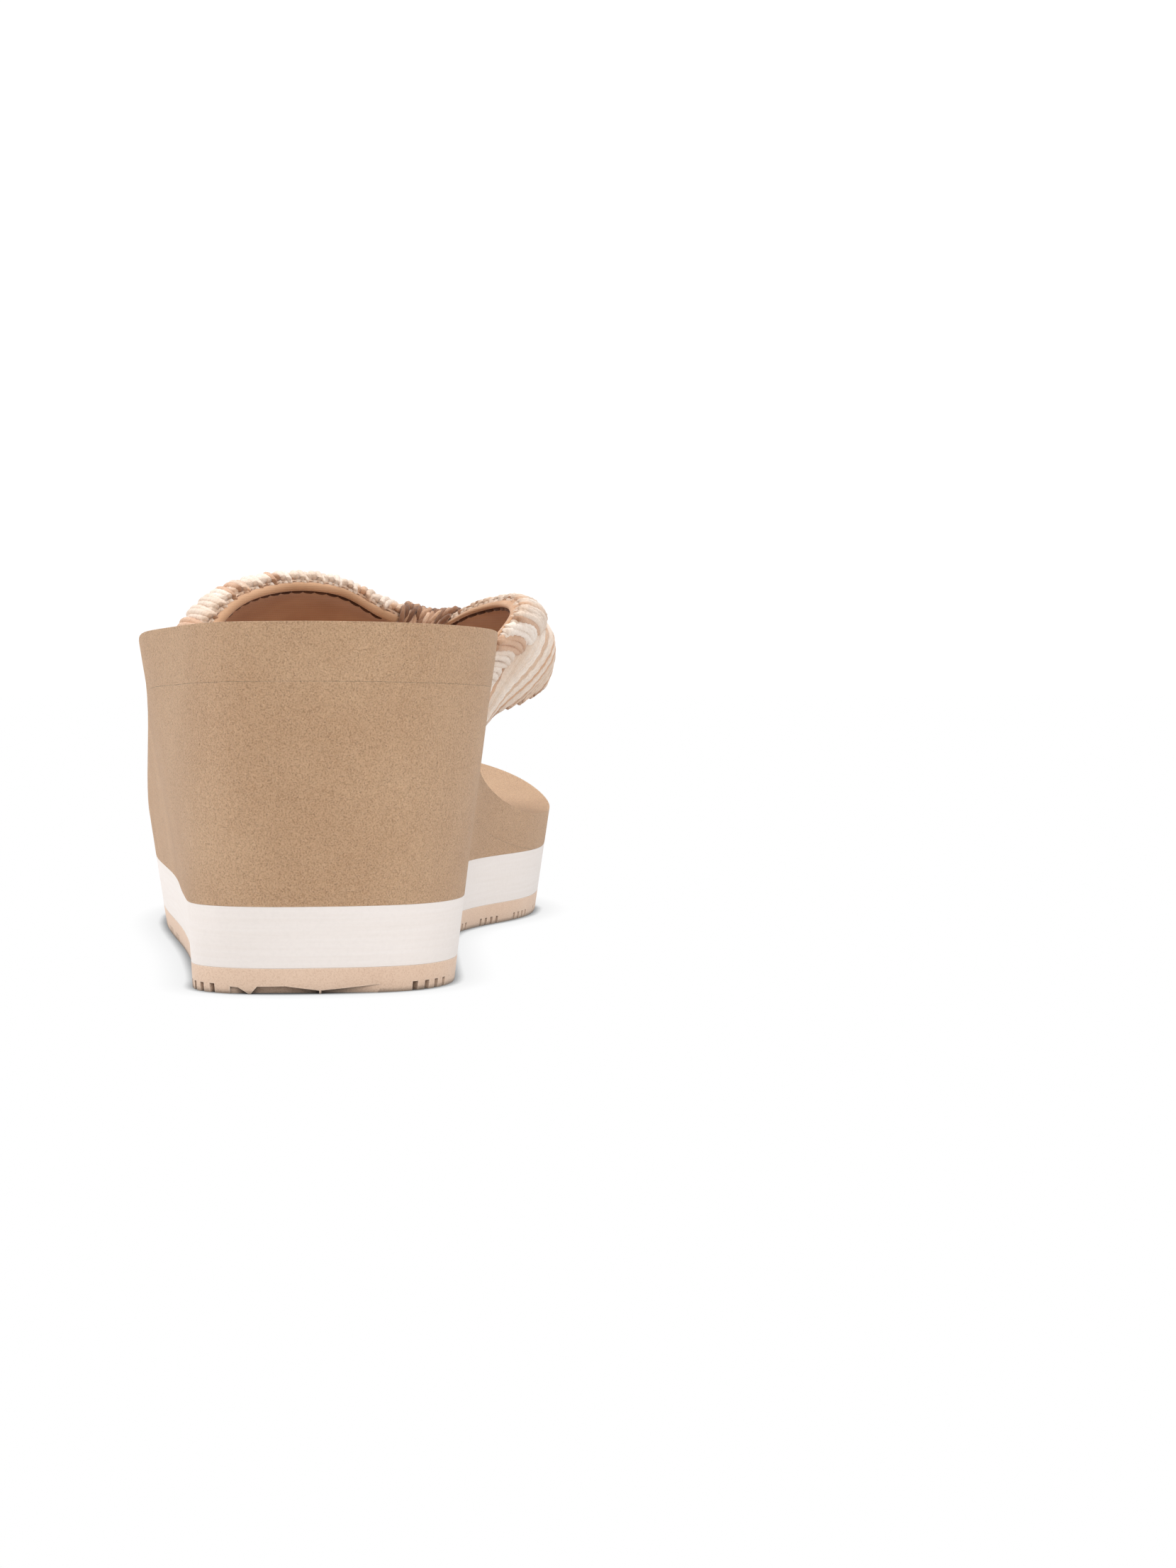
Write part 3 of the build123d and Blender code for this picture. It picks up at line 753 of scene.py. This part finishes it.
def yarn_material():
    """Soft mixed yarn: each strand has a tone, with fibres that wind along it."""
    nodes = Nodes("yarn")
    nodes.shader.inputs["Sheen Weight"].default_value = 0.25
    nodes.shader.inputs["Sheen Roughness"].default_value = 0.5
    nodes.shader.inputs["Specular IOR Level"].default_value = 0.15
    tone = nodes.add("ShaderNodeAttribute", attribute_name="tone").outputs["Fac"]
    base = nodes.ramp(tone, [
        (0.0, linear(112, 78, 58)),
        (0.14, linear(146, 106, 80)),
        (0.26, linear(216, 176, 145)),
        (0.42, linear(221, 198, 177)),
        (0.62, linear(231, 212, 195)),
        (0.95, linear(243, 230, 218)),
    ])
    place = nodes.add("ShaderNodeUVMap", uv_map="strand").outputs["UV"]
    fibres = nodes.noise(1.0, 4.0, 0.7, nodes.stretched((1.6, 7.0, 1.0), place, turn=0.5))
    fuzz = nodes.noise(2600.0, 3.0)
    patches = nodes.noise(160.0, 2.0)
    gaps = nodes.ramp(fibres, [(0.3, (0.62, 0.55, 0.5)), (0.55, WHITE)])
    blush = nodes.ramp(patches, [(0.35, (0.85, 0.74, 0.66)), (0.6, WHITE)])
    colour = nodes.mixed("MULTIPLY", 0.45, base, gaps)
    colour = nodes.mixed("MULTIPLY", 0.35, colour, blush)
    normal = nodes.bump(fibres, 0.0003, 0.8)
    normal = nodes.bump(fuzz, 0.0001, 0.6, normal)
    return nodes.finish(colour, nodes.span(fibres, 0.95, 0.75), normal)


# A wave texture's scale for bands one metre apart
SCALE_FOR_ONE_METRE = 0.314


def cloth_material(name, light, dark, thread_pitch, relief, sheen):
    """Fine cloth: threads cross at a pitch in metres, with slight unevenness and sheen."""
    nodes = Nodes(name)
    nodes.shader.inputs["Sheen Weight"].default_value = sheen
    nodes.shader.inputs["Sheen Roughness"].default_value = 0.4
    nodes.shader.inputs["Specular IOR Level"].default_value = 0.2
    heights = []
    for axis in ("X", "Y", "Z"):
        wave = nodes.add("ShaderNodeTexWave", wave_type="BANDS", bands_direction=axis)
        wave.inputs["Scale"].default_value = SCALE_FOR_ONE_METRE / thread_pitch
        wave.inputs["Distortion"].default_value = 0.6
        nodes.join(nodes.place, wave.inputs["Vector"])
        heights.append(wave.outputs["Fac"])
    crossed = nodes.mixed("MULTIPLY", 1.0, heights[0], heights[1])
    weave = nodes.mixed("LIGHTEN", 1.0, crossed, heights[2])
    patches = nodes.noise(90.0, 3.0)
    fuzz = nodes.noise(3000.0, 2.0)
    base = nodes.ramp(patches, [(0.35, dark), (0.65, light)])
    colour = nodes.mixed("MULTIPLY", 0.25, base, nodes.ramp(weave, [(0.0, grey(0.6)), (0.6, WHITE)]))
    normal = nodes.bump(weave, relief, 0.7)
    normal = nodes.bump(fuzz, relief * 0.6, 0.5, normal)
    return nodes.finish(colour, nodes.span(fuzz, 0.9, 0.7), normal)


# In the foam and rubber entries, the fourth colour and the share after it are for the lighter edges,
# partly rubbed wear and partly a painted highlight; the last number is the share of the grain's speckle,
# partly painted light and shade of the relief
MATERIALS = {
    "tan_foam": foam_material(
        "tan_foam", linear(240, 199, 159), linear(220, 176, 136), linear(173, 127, 90),
        linear(240, 214, 186), 0.1, 0.0009, 0.55),
    "outsole_rubber": foam_material(
        "outsole_rubber", linear(226, 197, 173), linear(217, 186, 162), linear(188, 154, 128),
        linear(240, 222, 204), 0.5, 0.0001, 0.4),
    "band_foam": band_material(),
    "yarn": yarn_material(),
    "lining_fabric": cloth_material(
        "lining_fabric", linear(190, 142, 108), linear(176, 127, 94), 0.0005, 0.00004, 0.3),
    "binding_fabric": cloth_material(
        "binding_fabric", linear(200, 158, 124), linear(184, 142, 108), 0.0004, 0.00005, 0.2),
    "padding_foam": cloth_material(
        "padding_foam", linear(232, 222, 204), linear(218, 206, 186), 0.0009, 0.00012, 0.1),
    "webbing_tape": cloth_material(
        "webbing_tape", linear(226, 216, 200), linear(208, 196, 178), 0.0008, 0.00012, 0.1),
    "thread": cloth_material(
        "thread", linear(96, 64, 46), linear(76, 48, 34), 0.0003, 0.00005, 0.1),
}


def dress(piece, slot_name):
    """Gives a piece its material."""
    piece.data.materials.clear()
    piece.data.materials.append(MATERIALS[slot_name])


def settle(piece, slot_name, *nodes):
    """A finished strap piece: material, slot, body, and the CAD nodes that it stands for."""
    dress(piece, slot_name)
    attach(piece, "root")
    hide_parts(*nodes)


# ---- Sole: the CAD layers keep their shape, with softened edges ----
EDGE_ROUNDING = {"footbed": 0.0008, "wedge": 0.0003, "midsole_band": 0.0003, "outsole": 0.0003}
WELD_REACH = 0.00001
SHARP_ANGLE = math.radians(40)
SOLE_SLOTS = {
    "footbed": "tan_foam",
    "wedge": "tan_foam",
    "midsole_band": "band_foam",
    "outsole": "outsole_rubber",
}


def soften_edges(layer, rounding):
    """Joins the faces along their shared edges and rounds the sharp ones."""
    weld = layer.modifiers.new("weld", "WELD")
    weld.merge_threshold = WELD_REACH
    bevel = layer.modifiers.new("round", "BEVEL")
    bevel.width = rounding
    bevel.segments = 3
    bevel.limit_method = "ANGLE"
    bevel.angle_limit = SHARP_ANGLE
    bevel.use_clamp_overlap = True
    bevel.harden_normals = False


for node, slot_name in SOLE_SLOTS.items():
    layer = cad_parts[node]
    dress(layer, slot_name)
    soften_edges(layer, EDGE_ROUNDING[node])

for half in HALVES:
    settle(make_braid(half), "yarn", f"{half}_braid")
    padding = make_layer(half, f"{half}_padding_foam", PADDING_DEPTH, PADDING_INSET, PADDING_PINCH)
    settle(padding, "padding_foam", f"{half}_padding")
    webbing = make_layer(half, f"{half}_webbing_tape", WEBBING_DEPTH, WEBBING_INSET)
    settle(webbing, "webbing_tape", f"{half}_webbing")
    settle(make_lining(half), "lining_fabric", f"{half}_lining")
    settle(make_stitches(half), "thread", f"{half}_stitching")
    for edge in ("back", "front"):
        settle(make_binding(half, edge), "binding_fabric", f"{half}_{edge}_binding")

settle(make_layer("wrap", "knot_core_tape", CORE_DEPTH, CORE_INSET), "webbing_tape", "knot_core")
settle(make_knot_wrap(), "yarn", "knot_wrap")


# ---- Floor, light and camera ----
FLOOR_SIZE = 12.0
WORLD_LIGHT = 0.5
WORLD_SEEN = 1.05
# Reaches of the floor's painted shadow: a tight dark core and a wide faint halo
CORE_SHADOW_REACH = 0.0035
PAINTED_HALO_SHADOW_REACH = 0.012


def make_floor():
    """A glowing white floor that only darkens, as painted shadow, close to where the sandal touches it."""
    mesh = bpy.data.meshes.new("floor")
    mesh.from_pydata([(-1, -1, 0), (1, -1, 0), (1, 1, 0), (-1, 1, 0)], [], [(0, 1, 2, 3)])
    floor = bpy.data.objects.new("floor", mesh)
    floor.scale = (FLOOR_SIZE / 2, FLOOR_SIZE / 2, 1.0)
    bpy.context.scene.collection.objects.link(floor)
    nodes = Nodes("floor")
    # Painted shadow on the floor: a tight dark core and a wide faint halo, from how closely surfaces close
    # in
    painted_floor_shadows = []
    for reach, stops in (
        (CORE_SHADOW_REACH, [(0.05, grey(0.01)), (0.5, grey(0.45)), (0.8, WHITE)]),
        (PAINTED_HALO_SHADOW_REACH, [(0.3, grey(0.8)), (0.85, WHITE)]),
    ):
        nearness = nodes.add("ShaderNodeAmbientOcclusion", samples=16)
        nearness.inputs["Distance"].default_value = reach
        painted_floor_shadows.append(nodes.ramp(nearness.outputs["AO"], stops))
    shade = nodes.mixed("MULTIPLY", 1.0, painted_floor_shadows[0], painted_floor_shadows[1])
    glow = nodes.add("ShaderNodeEmission")
    nodes.join(shade, glow.inputs["Color"])
    output = nodes.tree.nodes["Material Output"]
    nodes.join(glow.outputs["Emission"], output.inputs["Surface"])
    mesh.materials.append(nodes.material)


def make_softbox(name, place, target, size, power):
    """A large square area light aimed at a point."""
    data = bpy.data.lights.new(name, "AREA")
    data.size = size
    data.energy = power
    light = bpy.data.objects.new(name, data)
    light.location = place
    light.rotation_euler = (Vector(target) - Vector(place)).to_track_quat("-Z", "Y").to_euler()
    bpy.context.scene.collection.objects.link(light)


def make_world():
    """White surroundings: bright white to the camera, softer as a light."""
    world = bpy.data.worlds.new("studio")
    bpy.context.scene.world = world
    world.use_nodes = True
    tree = world.node_tree
    seen = tree.nodes.new("ShaderNodeLightPath").outputs["Is Camera Ray"]
    strength = tree.nodes.new("ShaderNodeMapRange")
    strength.inputs["To Min"].default_value = WORLD_LIGHT
    strength.inputs["To Max"].default_value = WORLD_SEEN
    tree.links.new(seen, strength.inputs["Value"])
    background = tree.nodes["Background"]
    background.inputs["Color"].default_value = (1.0, 1.0, 1.0, 1.0)
    tree.links.new(strength.outputs["Result"], background.inputs["Strength"])


# The camera stands low behind the heel, a little to its right, and looks slightly down
CAMERA_PLACE = (0.02152, -0.61976, 0.0592)
VIEW_HEADING = math.radians(3.0)
VIEW_DROP = math.radians(2.38)
FOCAL_LENGTH = 63.07
SENSOR = 36.0


def make_camera():
    data = bpy.data.cameras.new("camera")
    data.lens = FOCAL_LENGTH
    data.sensor_width = SENSOR
    data.clip_start = 0.02
    data.clip_end = 50.0
    camera = bpy.data.objects.new("camera", data)
    camera.location = CAMERA_PLACE
    camera.rotation_euler = (math.pi / 2 - VIEW_DROP, 0.0, -VIEW_HEADING)
    bpy.context.scene.collection.objects.link(camera)
    bpy.context.scene.camera = camera


make_floor()
make_world()
make_softbox("top_light", place=(0.1, 0.25, 1.2), target=(0.0, 0.05, 0.03), size=1.0, power=13.5)
make_softbox("left_light", place=(-1.1, 0.1, 0.5), target=(0.0, 0.0, 0.03), size=0.8, power=7.5)
make_softbox("back_light", place=(0.55, -1.3, 0.6), target=(0.0, 0.0, 0.03), size=0.8, power=8.0)
make_camera()
bpy.context.scene.view_settings.view_transform = "Standard"
